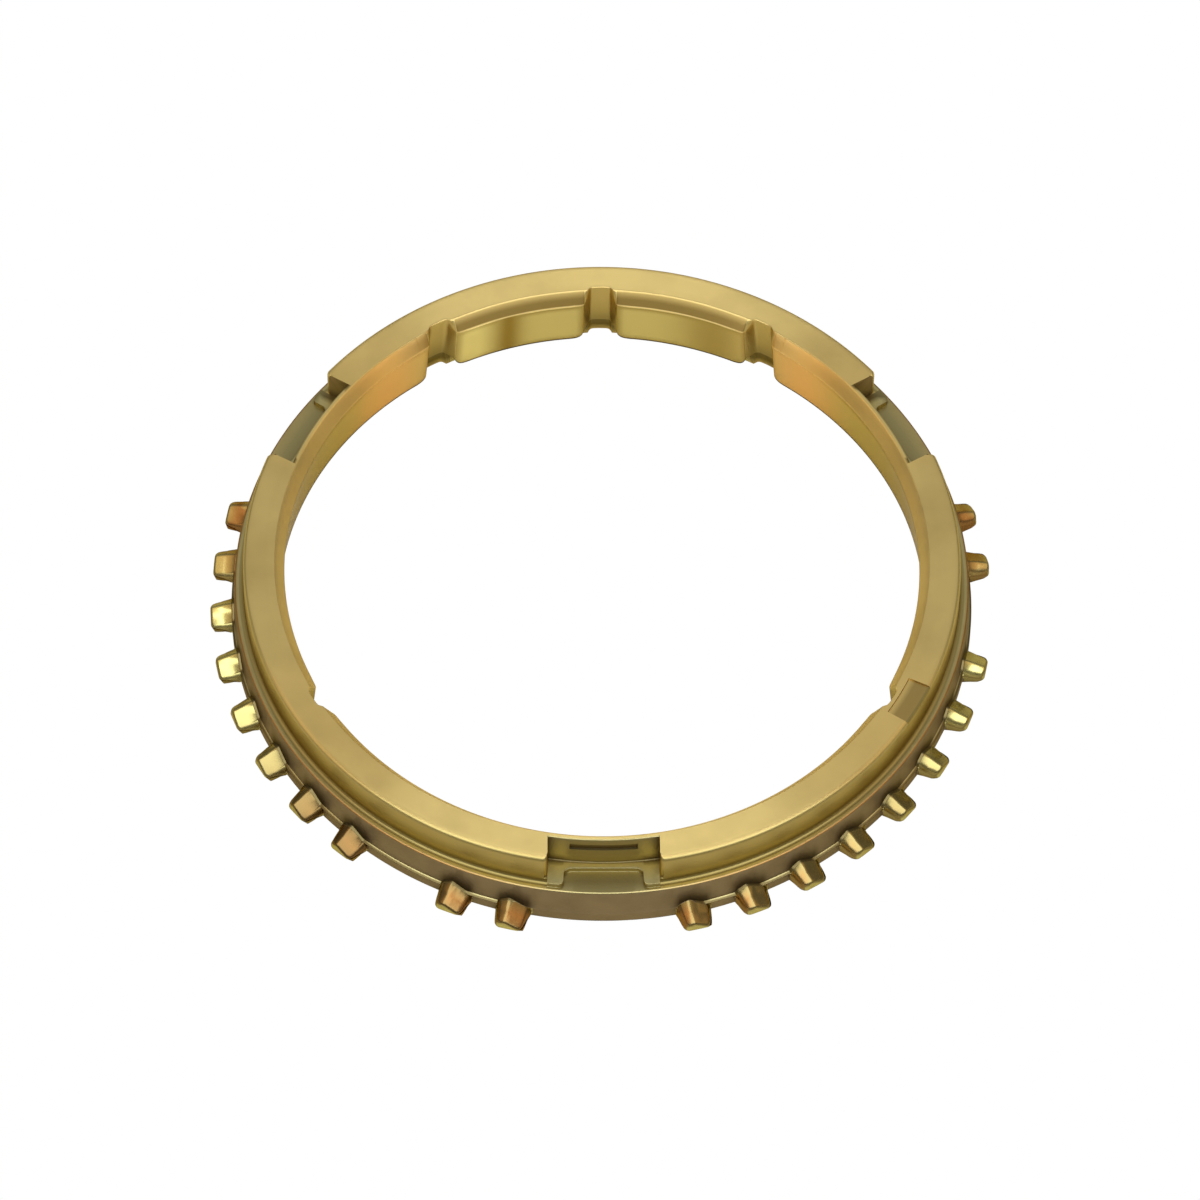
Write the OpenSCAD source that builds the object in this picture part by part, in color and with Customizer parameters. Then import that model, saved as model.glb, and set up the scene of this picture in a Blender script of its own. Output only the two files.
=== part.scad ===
// Synchronizer ring for a gearbox: one forged and machined piece of brass.
// The axis is +Z. The gear-side face lies on z = 0, the flat hub-side face is up.
// Angles are counted from +X, and the first strut notch faces -Y.

/* [Teeth] */
// Diameter over the tooth tips
tip_d = 80; // [72:0.5:88]
// Tooth places on the full circle, a multiple of three
tooth_places = 39; // [33:3:42]
// Place in each third, counted from a notch, that is left without a tooth
empty_place = 9; // [2:1:9]
// Tooth height from the root land to the tip
tooth_h = 2.15; // [1.7:0.05:2.6]
// Tooth width at the root
tooth_root_w = 3.6; // [3:0.1:4]
// Tooth width at the tip
tooth_tip_w = 2.8; // [2.2:0.1:3]
// Rounding of the tip corners seen from above
tooth_tip_r = 0.7; // [0.3:0.05:0.9]
// Height of the pointed ridge where it leaves the flange
ridge_z = 2.4; // [2:0.1:3.2]
// Distance of the ridge from the middle of the tooth, against the counting direction
ridge_shift = 0.45; // [0.2:0.05:0.6]
// Fall of the ridge from the root to the tip
ridge_fall = 0.75; // [0.2:0.05:0.9]
// Slope of the two facets beside the ridge
facet_angle = 31; // [25:1:36]
// Height of the teeth's underside above the gear-side face
tooth_z = 0.3; // [0.1:0.05:0.4]
// Chamfer of the tooth tips at the gear side
tip_chamfer = 0.2; // [0.1:0.05:0.3]

/* [Flange] */
// Height of the toothed flange up to its ledge
flange_h = 5; // [4.2:0.1:5.8]
// Draft of the flange wall, in degrees
flange_draft = 2.3; // [0.5:0.1:4]
// How far the root land between the teeth stands out of the flange wall
land_w = 0.2; // [0.1:0.05:0.4]
// Height of the root land, with its sloping top
land_h = 1.6; // [1:0.1:2]
// Width of the ledge on top of the flange
ledge_w = 0.95; // [0.8:0.05:1.4]
// Concave fillet between the ledge and the hub wall
ledge_fillet = 0.4; // [0.2:0.05:0.4]
// Chamfer that breaks the flange's upper and lower edges
flange_chamfer = 0.2; // [0.1:0.05:0.3]

/* [Hub face] */
// Full height of the ring
ring_h = 9.1; // [8.3:0.1:11]
// Width of the flat hub face
face_w = 3.25; // [3.05:0.05:4.25]
// Rounding of the hub face's outer edge
face_round = 0.5; // [0.2:0.05:0.6]

/* [Friction cone] */
// Half angle of the friction cone, in degrees
cone_angle = 6; // [5:0.25:8]
// Width of the steep bevel between the hub face and the cone
bevel_w = 0.95; // [0.6:0.05:1.1]
// Height of that bevel
bevel_h = 1.5; // [1:0.1:2]
// Lead-in chamfer where the cone opens to the gear side
lead_in = 0.9; // [0.5:0.05:1.3]

/* [Oil grooves] */
// Width of the groove floor
groove_floor_w = 2.1; // [1.5:0.1:2.6]
// Width of the groove where it meets the cone's small end
groove_mouth_w = 3.3; // [2.9:0.1:3.6]
// Depth of the groove below the hub face's inner edge
groove_depth = 0.35; // [0.2:0.05:0.6]
// Lean of the groove floor, in degrees
groove_angle = 8; // [6:0.5:9]
// Rounding of the pad corners at the groove's lower end
pad_round = 1.2; // [0.6:0.05:1.3]

/* [Strut notches] */
// Width of each notch between its parallel ends
notch_w = 11.2; // [10:0.1:12]
// Thickness of the thin wall at its rim
rim_t = 0.45; // [0.35:0.05:0.7]
// Draft of the thin wall's outer side, in degrees
rim_draft = 7; // [4:0.5:9]
// Height of the tabs and strip above the ledge
tab_h = 0.6; // [0.5:0.05:0.9]
// Width of the strip kept along the foot of the thin wall
strip_w = 0.7; // [0.4:0.05:0.9]
// Width of the two tabs that leave the strut seat between them
tab_w = 1.6; // [1.2:0.1:2.2]
// How far the tabs reach out past the hub wall
tab_reach = 0.5; // [0.45:0.05:0.65]
// Rounding of the tab ends towards the strut seat
tab_r = 0.5; // [0.2:0.05:0.7]
// Depth of the strut seat below the ledge
seat_drop = 0.05; // [0.03:0.01:0.08]
// Corner radius of the strut seat
seat_r = 0.8; // [0.4:0.1:1]
// Rounding of the notch's outer corners seen from above
notch_corner = 0.5; // [0.2:0.05:0.7]
// Length of the relief slot in the thin wall
slot_l = 6.8; // [4:0.1:8]
// Height of the relief slot
slot_h = 0.8; // [0.5:0.05:1]
// Depth of the relief slot
slot_depth = 0.3; // [0.15:0.05:0.35]
// Distance of the relief slot below the rim
slot_drop = 0.8; // [0.5:0.05:1.1]

/* [Marking field] */
// Width of the bare field sunk into the hub face
field_w = 4.7; // [3:0.1:6]
// Width of hub face left inside the field
field_margin = 0.85; // [0.75:0.05:1.3]
// Depth of the field
field_depth = 0.2; // [0.1:0.05:0.3]

/* [Hidden] */
$fn = 180;
small_fn = 32;
over = 1;
sink = 0.6;
clear = 0.1;
dip = 0.01;
thirds = 3;
notch_start = 270;
groove_places = [60, 90, 120, 210, 330];
field_place = 331;
short_third = 1;

pitch = 360 / tooth_places;
places_per_third = tooth_places / thirds;
tip_r = tip_d / 2;
root_r = tip_r - tooth_h;
flange_r = root_r - land_w;
flange_top_r = flange_wall_r(flange_h);
body_r = flange_top_r - ledge_w;
lip_r = body_r - face_w;
small_end_r = lip_r - bevel_w;
small_end_z = ring_h - bevel_h;
tab_z = flange_h + tab_h;
seat_z = flange_h - seat_drop;
far_r = tip_r + over;
seat_half = notch_w / 2 - tab_w;
groove_top_r = lip_r + groove_depth;

// Radius of the drafted flange wall at height z
function flange_wall_r(z) = flange_r - z * tan(flange_draft);

// Radius of the friction cone at height z
function cone_r(z) = small_end_r + (small_end_z - z) * tan(cone_angle);

// Outer radius of a notch's thin wall at height z
function rim_r(z) = lip_r + rim_t + (ring_h - z) * tan(rim_draft);

// Square corner less a quarter circle, to round an edge or fill a corner
module corner_web(r) {
    difference() {
        square(r);
        circle(r, $fn = small_fn);
    }
}

// Half section of the plain ring, before notches, grooves and teeth
module ring_section() {
    difference() {
        polygon([
            [cone_r(lead_in) + lead_in, 0],
            [flange_r - flange_chamfer, 0],
            [flange_wall_r(flange_chamfer), flange_chamfer],
            [flange_wall_r(flange_h - flange_chamfer), flange_h - flange_chamfer],
            [flange_top_r - flange_chamfer, flange_h],
            [body_r, flange_h],
            [body_r, ring_h],
            [lip_r, ring_h],
            [small_end_r, small_end_z],
            [cone_r(lead_in), lead_in]
        ]);
        translate([body_r - face_round, ring_h - face_round])
            corner_web(face_round);
    }
    translate([body_r + ledge_fillet, flange_h + ledge_fillet])
        rotate(180)
            corner_web(ledge_fillet);
}

// Root land between the teeth of one third, clear of the strut notches and of bare end places
module root_land(bare_ends) {
    land_start = (1.5 + bare_ends) * pitch;
    land_sweep = (places_per_third - 3 - 2 * bare_ends) * pitch;
    rotate(land_start)
        rotate_extrude(angle = land_sweep)
            polygon([
                [flange_r - sink, flange_chamfer],
                [root_r, flange_chamfer],
                [root_r, land_h - land_w],
                [flange_wall_r(land_h), land_h],
                [flange_r - sink, land_h]
            ]);
}

// Plan of a tooth along +X, narrowing to a rounded tip
module tooth_plan() {
    flank = atan((tooth_root_w - tooth_tip_w) / 2 / tooth_h);
    base_r = flange_r - sink;
    base_half = tooth_root_w / 2 + (root_r - base_r) * tan(flank);
    corner_x = tip_r - tooth_tip_r;
    corner_y = tooth_tip_w / 2 + tooth_tip_r * tan(flank) - tooth_tip_r / cos(flank);
    touch_x = corner_x + tooth_tip_r * sin(flank);
    touch_y = corner_y + tooth_tip_r * cos(flank);
    polygon([
        [base_r, -base_half],
        [touch_x, -touch_y],
        [tip_r, -corner_y],
        [tip_r, corner_y],
        [touch_x, touch_y],
        [base_r, base_half]
    ]);
    for (side = [-1, 1])
        translate([corner_x, side * corner_y])
            circle(tooth_tip_r, $fn = small_fn);
}

// Roof of a tooth: two facets meeting in an off-centre ridge that falls towards the tip
module tooth_roof() {
    fall_angle = atan(ridge_fall / tooth_h);
    half_w = tooth_root_w;
    length = 4 * tooth_h;
    translate([root_r, -ridge_shift, ridge_z])
        rotate([0, fall_angle, 0])
            rotate([90, 0, 90])
                translate([0, 0, -length / 2])
                    linear_extrude(length)
                        polygon([
                            [0, 0],
                            [-half_w, -half_w * tan(facet_angle)],
                            [-half_w, -3 * ridge_z],
                            [half_w, -3 * ridge_z],
                            [half_w, -half_w * tan(facet_angle)]
                        ]);
}

// Turned outline that all the tooth tips end on
module tip_envelope() {
    rotate_extrude()
        polygon([
            [0, tooth_z],
            [tip_r - tip_chamfer, tooth_z],
            [tip_r, tooth_z + tip_chamfer],
            [tip_r, ridge_z + over],
            [0, ridge_z + over]
        ]);
}

module tooth() {
    intersection() {
        linear_extrude(ridge_z + over)
            tooth_plan();
        tooth_roof();
        tip_envelope();
    }
}

// Teeth of one third: the places beside the notch, any bare ends and one more stay empty
module tooth_row(bare_ends) {
    for (place = [1 + bare_ends : places_per_third - 2 - bare_ends])
        if (place != empty_place)
            rotate((place + 0.5) * pitch)
                tooth();
}

// Plan of the strut seat along +X, open to the outside, with rounded inner corners
module seat_plan() {
    seat_start = rim_r(tab_z) + strip_w;
    difference() {
        translate([seat_start, -seat_half])
            square([far_r, 2 * seat_half]);
        for (side = [-1, 1])
            translate([seat_start + seat_r, side * (seat_half - seat_r)])
                rotate(side > 0 ? 90 : 180)
                    corner_web(seat_r);
    }
}

// Outer ends of the two tabs, before the strut seat is cut between them
module tab_ends() {
    intersection() {
        rotate_extrude()
            translate([body_r - sink, flange_h - sink])
                square([tab_reach + sink, tab_h + sink]);
        translate([0, -notch_w / 2, 0])
            cube([far_r, notch_w, ring_h]);
    }
}

// Space of one strut notch along +X, down to the tabs, with its seat and relief slot
module notch_space() {
    top_z = ring_h + over;
    slot_top = ring_h - slot_drop;
    slot_bottom = slot_top - slot_h;
    slot_angle = slot_l / rim_r(slot_top) * 180 / PI;
    intersection() {
        rotate_extrude()
            polygon([
                [rim_r(tab_z), tab_z],
                [far_r, tab_z],
                [far_r, top_z],
                [rim_r(top_z), top_z]
            ]);
        translate([0, -notch_w / 2, 0])
            cube([far_r, notch_w, top_z]);
    }
    translate([0, 0, seat_z])
        linear_extrude(ring_h)
            seat_plan();
    rotate(-slot_angle / 2)
        rotate_extrude(angle = slot_angle)
            polygon([
                [rim_r(slot_bottom) - slot_depth, slot_bottom],
                [rim_r(slot_bottom) + slot_depth, slot_bottom],
                [rim_r(slot_top) + slot_depth, slot_top],
                [rim_r(slot_top) - slot_depth, slot_top]
            ]);
    for (side = [0, 1])
        mirror([0, side, 0]) {
            corner_space(body_r, notch_w / 2, notch_corner, tab_z);
            corner_space(body_r + tab_reach, seat_half, tab_r, seat_z - dip);
        }
}

// Upright space that rounds the corner where a straight side meets an outer wall, from z upwards
module corner_space(wall_r, side_y, r, z) {
    centre_y = side_y + r - dip;
    centre_r = wall_r - r + dip;
    centre_x = sqrt(centre_r * centre_r - centre_y * centre_y);
    translate([centre_x, centre_y, z])
        linear_extrude(ring_h)
            difference() {
                translate([0, -r - clear])
                    square([r + ledge_w, r + clear]);
                circle(r, $fn = small_fn);
            }
}

// Space of one oil groove along +X, its floor leaning outwards to the gear side
module groove_space() {
    length = 2 * ring_h;
    mouth_depth = groove_top_r - cone_r(ring_h);
    reach = 2 * mouth_depth;
    side_slope = (groove_mouth_w - groove_floor_w) / 2 / mouth_depth;
    reach_half = groove_floor_w / 2 + reach * side_slope;
    translate([groove_top_r, 0, ring_h])
        rotate([0, -groove_angle, 0])
            translate([0, 0, over - length])
                linear_extrude(length)
                    polygon([
                        [0, -groove_floor_w / 2],
                        [0, groove_floor_w / 2],
                        [-reach, reach_half],
                        [-reach, -reach_half]
                    ]);
    for (side = [0, 1])
        mirror([0, side, 0])
            pad_corner_space();
}

// Rounded corner to take off the friction pad beside a groove's lower end
module pad_corner_space() {
    corner_y = groove_mouth_w / 2 + pad_round;
    corner_z = lead_in + pad_round - dip;
    depth = groove_top_r + (ring_h - 2 * corner_z) * tan(groove_angle) - small_end_r;
    translate([small_end_r, 0, 0])
        rotate([90, 0, 90])
            linear_extrude(depth)
                difference() {
                    translate([0, -over])
                        square([corner_y, corner_z + over]);
                    translate([corner_y, corner_z])
                        circle(pad_round, $fn = small_fn);
                }
}

// Bare field sunk into the hub face, open to its outer edge
module field_space() {
    translate([lip_r + field_margin, -field_w / 2, ring_h - field_depth])
        cube([face_w, field_w, field_depth + over]);
}

module synchronizer_ring() {
    color("darkgoldenrod") {
        difference() {
            union() {
                rotate_extrude()
                    ring_section();
                for (third = [0 : thirds - 1])
                    rotate(notch_start + third * 360 / thirds)
                        tab_ends();
            }
            for (third = [0 : thirds - 1])
                rotate(notch_start + third * 360 / thirds)
                    notch_space();
            for (place = groove_places)
                rotate(place)
                    groove_space();
            rotate(field_place)
                field_space();
        }
        for (third = [0 : thirds - 1])
            rotate(notch_start + third * 360 / thirds) {
                bare_ends = third == short_third ? 1 : 0;
                root_land(bare_ends);
                tooth_row(bare_ends);
            }
    }
}

synchronizer_ring();
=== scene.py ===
# %% [markdown]
# # A brass synchronizer ring
# In a manual gearbox this ring brakes a gear to the shaft's speed before the gear engages.
# It is one forging, turned on a lathe where it has to be true and left raw elsewhere.
# This lesson builds it as a single numpy surface: one section, carried once round the axis.

# %% Load the frame
import math
import bpy
import numpy as np
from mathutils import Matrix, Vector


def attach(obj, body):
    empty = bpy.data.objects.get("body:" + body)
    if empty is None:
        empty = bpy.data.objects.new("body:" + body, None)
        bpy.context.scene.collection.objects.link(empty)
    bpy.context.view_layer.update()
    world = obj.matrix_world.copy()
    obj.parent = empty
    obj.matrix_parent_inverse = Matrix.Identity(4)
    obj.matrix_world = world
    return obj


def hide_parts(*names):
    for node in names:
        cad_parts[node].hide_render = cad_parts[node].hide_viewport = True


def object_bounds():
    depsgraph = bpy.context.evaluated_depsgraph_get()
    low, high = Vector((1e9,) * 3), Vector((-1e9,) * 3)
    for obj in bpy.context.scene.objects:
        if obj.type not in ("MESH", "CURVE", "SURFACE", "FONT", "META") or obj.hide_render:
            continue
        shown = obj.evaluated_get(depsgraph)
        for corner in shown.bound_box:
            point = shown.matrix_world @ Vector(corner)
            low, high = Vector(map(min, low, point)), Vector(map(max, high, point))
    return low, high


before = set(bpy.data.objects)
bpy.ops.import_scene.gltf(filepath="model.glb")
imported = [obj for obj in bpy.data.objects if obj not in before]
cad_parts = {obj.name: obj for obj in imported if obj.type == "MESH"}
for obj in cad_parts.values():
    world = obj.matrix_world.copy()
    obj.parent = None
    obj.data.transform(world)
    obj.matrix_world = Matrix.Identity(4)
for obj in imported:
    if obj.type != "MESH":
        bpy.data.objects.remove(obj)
cad_box = [[float(value) for value in corner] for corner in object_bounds()]
MM = 0.001
tip_r = max(abs(value) for corner in cad_box for value in corner) / MM
ring_h = (cad_box[1][2] - cad_box[0][2]) / MM
print(f"CAD ring: {2 * tip_r:.2f} mm over the teeth, {ring_h:.2f} mm high")

# %% [markdown]
# ## Camera
# The photo is taken from the front, well above the ring, with a long lens.
# A camera can be placed by eye, but a fit to the ring's circles gives its place exactly.
# The picture is turned by less than a degree, so the camera is rolled by that angle.

# %% Place the camera
VIEW_ELEVATION = math.radians(56.75)
VIEW_AZIMUTH = math.radians(-90.9)
VIEW_DISTANCE = 948.8
VIEW_ROLL = math.radians(0.742)
LENS_MM = 279.1
SENSOR_MM = 36.0
aim_height = 0.55 * ring_h
frame_right, frame_up = -0.18, -2.0


def camera_matrix():
    """Axes of a camera that looks at the ring: right, up and back as columns, then its place in metres."""
    back = np.array([math.cos(VIEW_ELEVATION) * math.cos(VIEW_AZIMUTH),
                     math.cos(VIEW_ELEVATION) * math.sin(VIEW_AZIMUTH),
                     math.sin(VIEW_ELEVATION)])
    level = np.cross([0.0, 0.0, 1.0], back)
    level /= np.linalg.norm(level)
    rise = np.cross(back, level)
    right = math.cos(VIEW_ROLL) * level + math.sin(VIEW_ROLL) * rise
    up = math.cos(VIEW_ROLL) * rise - math.sin(VIEW_ROLL) * level
    place = np.array([0.0, 0.0, aim_height]) + VIEW_DISTANCE * back + frame_right * right + frame_up * up
    matrix = np.eye(4)
    matrix[:3, 0], matrix[:3, 1], matrix[:3, 2], matrix[:3, 3] = right, up, back, place * MM
    return matrix


camera_data = bpy.data.cameras.new("photo_camera")
camera_data.lens = LENS_MM
camera_data.sensor_width = SENSOR_MM
camera_data.clip_start = 0.01
camera = bpy.data.objects.new("photo_camera", camera_data)
bpy.context.collection.objects.link(camera)
camera.matrix_world = camera_matrix().T.tolist()
bpy.context.scene.camera = camera
print("camera at", [round(value, 4) for value in camera.location])

# %% [markdown]
# ## The driving sizes
# Every size below is in millimetres, and places round the ring are in degrees.
# The tooth circle and the height come from the frame. The rest is named here once, from the
# outside in.

# %% Name the sizes
TOOTH_PLACES, THIRDS, EMPTY_PLACE = 39, 3, 9
BARE_ENDS = np.array([1, 2, 1])
NOTCH_START = 270.0
GROOVE_PLACES = np.array([60.0, 90.0, 120.0, 210.0, 330.0])
FIELD_PLACE = 331.0
pitch = 360.0 / TOOTH_PLACES
places_per_third = TOOTH_PLACES // THIRDS
notch_places = NOTCH_START + 360.0 / THIRDS * np.arange(THIRDS)

tooth_h, tooth_root_half, tooth_tip_half, tooth_tip_round = 2.15, 1.8, 1.4, 0.7
ridge_z, ridge_shift, ridge_fall = 2.4, 0.45, 0.75
facet_slope, ridge_round = math.tan(math.radians(31)), 0.16
tooth_z, tip_chamfer, tooth_edge, flank_round, flank_lean = 0.3, 0.2, 0.26, 0.3, 0.16
root_r = tip_r - tooth_h

flange_h, flange_slope, flange_edge = 5.0, math.tan(math.radians(2.3)), 0.2
land_w, land_h = 0.2, 1.6
ledge_w, ledge_fillet = 0.95, 0.4
flange_r = root_r - land_w
flange_top_r = flange_r - flange_h * flange_slope
body_r = flange_top_r - ledge_w

face_w, face_round = 3.25, 0.5
bevel_w, bevel_h, lip_round = 0.95, 1.5, 0.06
cone_slope, lead_in = math.tan(math.radians(6)), 0.9
wall_top, lip_r = ring_h - face_round, body_r - face_w
small_end_r, small_end_z = lip_r - bevel_w, ring_h - bevel_h

groove_floor_half, groove_depth, groove_slope = 1.05, 0.35, math.tan(math.radians(8))
groove_mouth_half, pad_round, groove_soft = 1.65, 1.2, 0.4
groove_top_r = lip_r + groove_depth

notch_half, notch_corner = 5.6, 0.5
rim_t, rim_slope, rim_round = 0.45, math.tan(math.radians(7)), 0.12
tab_h, tab_w, tab_reach, tab_round = 0.6, 1.6, 0.5, 0.5
strip_w, seat_round, step_edge = 0.7, 0.8, 0.08
slot_half, slot_h, slot_depth, slot_drop = 3.4, 0.8, 0.3, 0.8
tab_z = flange_h + tab_h
slot_top = ring_h - slot_drop
slot_bottom = slot_top - slot_h

field_half, field_margin, field_depth = 2.35, 0.85, 0.2
print(f"root circle {root_r:.2f}, hub wall {body_r:.2f}, lip {lip_r:.2f}, small end {small_end_r:.2f} mm")

# %% [markdown]
# ## Where the columns stand
# The surface is a grid: a column is one section of the ring, at one angle round the axis.
# An even spacing would cut corners off the teeth, so columns crowd together where the shape
# changes: at tooth flanks, notch ends, tabs, grooves and the marking field.
# Two columns a hair apart make an upright wall, such as the end of a notch.

# %% Choose the column angles
HAIR, EVEN_STEP, EVEN_CLEARANCE = 0.012, 0.9, 0.3


def mix(a, b, share):
    """The point a given share of the way from a to b."""
    return a + (b - a) * share


def turn_between(a, b):
    """Signed angle in degrees from direction b to direction a, the short way round."""
    return (a - b + 180.0) % 360.0 - 180.0


def degrees_of(length, radius):
    """Angle in degrees that a length beside the middle line takes up at a radius: arc sine of their ratio."""
    return np.degrees(np.arcsin(length / radius))


tooth_angles = np.array([notch_places[third] + (place + 0.5) * pitch
                         for third, bare in enumerate(BARE_ENDS)
                         for place in range(bare, places_per_third - bare) if place != EMPTY_PLACE])
field_edge = float(degrees_of(field_half, body_r - face_w / 2))
seat_half = notch_half - tab_w
both_sides = HAIR * np.array([-1, 1])

ridge_columns = -np.array([0.46, 0.58, 0.66, 0.74, 0.86])
flank_columns = np.array([0.3, 1.1, 1.36, 1.54, 1.68, 1.82, 1.96, 2.1, 2.24, 2.38, 2.52, 2.64, 2.76, 3.0])
notch_sides = np.concatenate([
    slot_half + both_sides, seat_half + both_sides, notch_half + both_sides,
    seat_half - seat_round * np.array([0.04, 0.1, 0.2, 0.35, 0.55, 0.8, 1.0]),
    seat_half + tab_round * np.array([0.06, 0.15, 0.3, 0.55, 1.0]), [mix(seat_half, notch_half, 0.7)],
    notch_half + notch_corner * np.array([0.06, 0.15, 0.3, 0.55, 0.8, 1.05])])
notch_columns = degrees_of(notch_sides, body_r)
groove_columns = np.array([0.5, 1.0, 1.3, 1.5, 1.68, 1.84, 2.0, 2.16, 2.32, 2.48, 2.62, 2.74, 2.86, 2.96,
                           3.06, 3.2, 3.4, 3.7, 4.0, 4.3, 4.6, 4.97])
field_columns = field_edge + both_sides


def column_angles():
    """All column angles in degrees: fixed offsets on both sides of each feature, then an even filling."""
    sides = [(tooth_angles, flank_columns), (notch_places, notch_columns), (GROOVE_PLACES, groove_columns),
             (FIELD_PLACE, field_columns)]
    signed = [(tooth_angles, ridge_columns)]
    signed += [(places, np.concatenate([-offsets, offsets])) for places, offsets in sides]
    fixed = [(np.atleast_1d(places)[:, None] + offsets).ravel() % 360.0 for places, offsets in signed]
    fixed = np.unique(np.round(np.concatenate(fixed), 4))
    fixed = fixed[np.concatenate([[True], np.diff(fixed) > 0.8 * HAIR])]
    even = np.arange(0.0, 360.0, EVEN_STEP)
    gap = np.abs(turn_between(even[:, None], fixed)).min(axis=1)
    return np.sort(np.concatenate([fixed, even[gap > EVEN_CLEARANCE]]))


theta = column_angles()
print(len(theta), "columns, narrowest step", round(float(np.diff(theta).min()), 4), "degrees")

# %% [markdown]
# ## What each column meets
# For every column the script works out how far it stands from the nearest notch, tooth,
# groove and field. All of it is done on whole arrays, so nothing loops over points.

# %% Measure the columns


def nearest(places):
    """Signed angle in degrees from the closest of some places round the ring."""
    apart = turn_between(theta[:, None], np.atleast_1d(places))
    return apart[np.arange(len(theta)), np.abs(apart).argmin(axis=1)]


def far_side(angle, centre, radius):
    """Where a ray from the axis leaves a circle in plan: projection of the centre plus half the chord."""
    along, across = ray_parts(angle, centre)
    return along + np.sqrt(np.maximum(radius ** 2 - across ** 2, 0.0))


def ray_parts(angle, centre):
    """A circle's centre split along and across a ray that leaves the axis at an angle in degrees."""
    a = np.radians(angle)
    return centre[0] * np.cos(a) + centre[1] * np.sin(a), centre[1] * np.cos(a) - centre[0] * np.sin(a)


from_notch = np.abs(nearest(notch_places))
notch_y = body_r * np.sin(np.radians(from_notch))
beside_tooth = nearest(tooth_angles)
from_tooth = np.abs(beside_tooth)
from_groove = np.abs(nearest(GROOVE_PLACES))
in_notch = (notch_y < notch_half) & (from_notch < 90.0)
in_slot = in_notch & (notch_y < slot_half)
in_field = np.abs(nearest(FIELD_PLACE)) < field_edge
third = (((theta - NOTCH_START) % 360.0) // (360.0 / THIRDS)).astype(int)
on_land = from_notch >= (BARE_ENDS[third] + 0.5) * pitch
print(int(in_notch.sum()), "columns in notches,", int(in_field.sum()), "in the marking field")

# %% [markdown]
# ## Teeth
# Each blocking tooth narrows to a rounded tip and has a roof of two facets, which first
# guide the shift sleeve and then let it through. The ridge stands off the middle, so one
# facet is wider. Modelling the teeth one by one would need joins to the flange. Here a
# tooth is just how far out the section reaches at an angle: the tip circle, the rounded
# corner or the flank line, drawn in a little towards the roof as a forging die needs it.

# %% Work out the tooth outline
TOOTH_RISE = 0.02
flank_taper = (tooth_root_half - tooth_tip_half) / tooth_h
flank_angle = math.atan(flank_taper)
tip_corner_y = tooth_tip_half + tooth_tip_round * flank_taper - tooth_tip_round / math.cos(flank_angle)


def tooth_outline(inset):
    """Radius of a tooth's plan, its sides drawn in by inset: tip circle, corner circle or flank line."""
    a = np.radians(from_tooth)
    centre = (tip_r - tooth_tip_round, tip_corner_y - inset)
    touch = np.degrees(np.arctan2(centre[1] + tooth_tip_round * math.cos(flank_angle),
                                  centre[0] + tooth_tip_round * math.sin(flank_angle)))
    start = np.degrees(np.arctan2(centre[1], tip_r))
    flank = (tooth_root_half - inset + root_r * flank_taper) / (np.sin(a) + flank_taper * np.cos(a))
    corner = np.minimum(far_side(from_tooth, centre, tooth_tip_round), tip_r)
    return np.where(from_tooth < start, tip_r, np.where(from_tooth < touch, corner, flank))


def roof_z(r):
    """Height of a tooth's roof: ridge less its fall outwards and the facet's fall sideways, edge rounded."""
    x, y = r * np.cos(np.radians(beside_tooth)) - root_r, r * np.sin(np.radians(beside_tooth))
    fall = ridge_fall / tooth_h
    side = np.sqrt((y + ridge_shift) ** 2 + ridge_round ** 2) - ridge_round / 2
    facet = ridge_z - x * fall - side * facet_slope * math.hypot(1.0, fall)
    to_flank = tooth_root_half - x * flank_taper - flank_lean * (facet - tooth_z) - np.abs(y)
    into_round = np.clip(flank_round - to_flank, 0.0, flank_round)
    return facet - flank_round + np.sqrt(flank_round ** 2 - into_round ** 2)


def flange_wall(z):
    """Radius of the drafted flange wall at a height: it falls back by its slope."""
    return flange_r - z * flange_slope


foot_r = np.where(on_land, root_r, flange_wall(tooth_z))
outline = np.maximum(tooth_outline(0.0), foot_r)
in_tooth = outline > foot_r + TOOTH_RISE
print(f"tooth flanks end {from_tooth[in_tooth].max():.2f} degrees from the tooth's middle")

# %% [markdown]
# ## Notches, tabs and grooves
# Three notches hold the struts that push the ring. On a drawing they are straight cuts
# with rounded corners, so in polar form each edge is a line or a circle met by a ray.
# The oil grooves are milled across the cone on a slant and also follow from two planes.

# %% Work out the notch and groove outlines
GROOVE_REACH, PAD_START = 5.0, 0.01
seat_start = lip_r + rim_t + (ring_h - tab_z) * rim_slope + strip_w
tab_end = body_r + tab_reach


def round_x(wall, side, radius):
    """Plan x of a rounded corner between a straight side and an outer wall, at each column's notch_y."""
    centre_y = side + radius
    centre_x = math.sqrt((wall - radius) ** 2 - centre_y ** 2)
    off = np.clip(centre_y - notch_y, 0.0, radius)
    return centre_x + np.sqrt(radius ** 2 - off ** 2)


def step_radius():
    """Radius of the step up from the ledge in a notch: seat line, seat corner, the tab's rounded end."""
    off = np.clip(notch_y - seat_half + seat_round, 0.0, seat_round)
    seat_x = seat_start + seat_round - np.sqrt(seat_round ** 2 - off ** 2)
    seat = np.hypot(seat_x, notch_y)
    tab_corner = np.hypot(round_x(tab_end, seat_half, tab_round), notch_y)
    tab = np.where(notch_y < seat_half + tab_round, tab_corner, tab_end)
    return np.where(notch_y < seat_half, seat, tab)


def hub_wall_radius():
    """Radius of the hub wall: plain, but rounded in plan towards the ends of the notches."""
    rounded = np.hypot(round_x(body_r, notch_half, notch_corner), notch_y)
    at_corner = (notch_y < notch_half + notch_corner) & (from_notch < 90.0)
    return np.where(at_corner, np.minimum(rounded, body_r), body_r)


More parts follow.
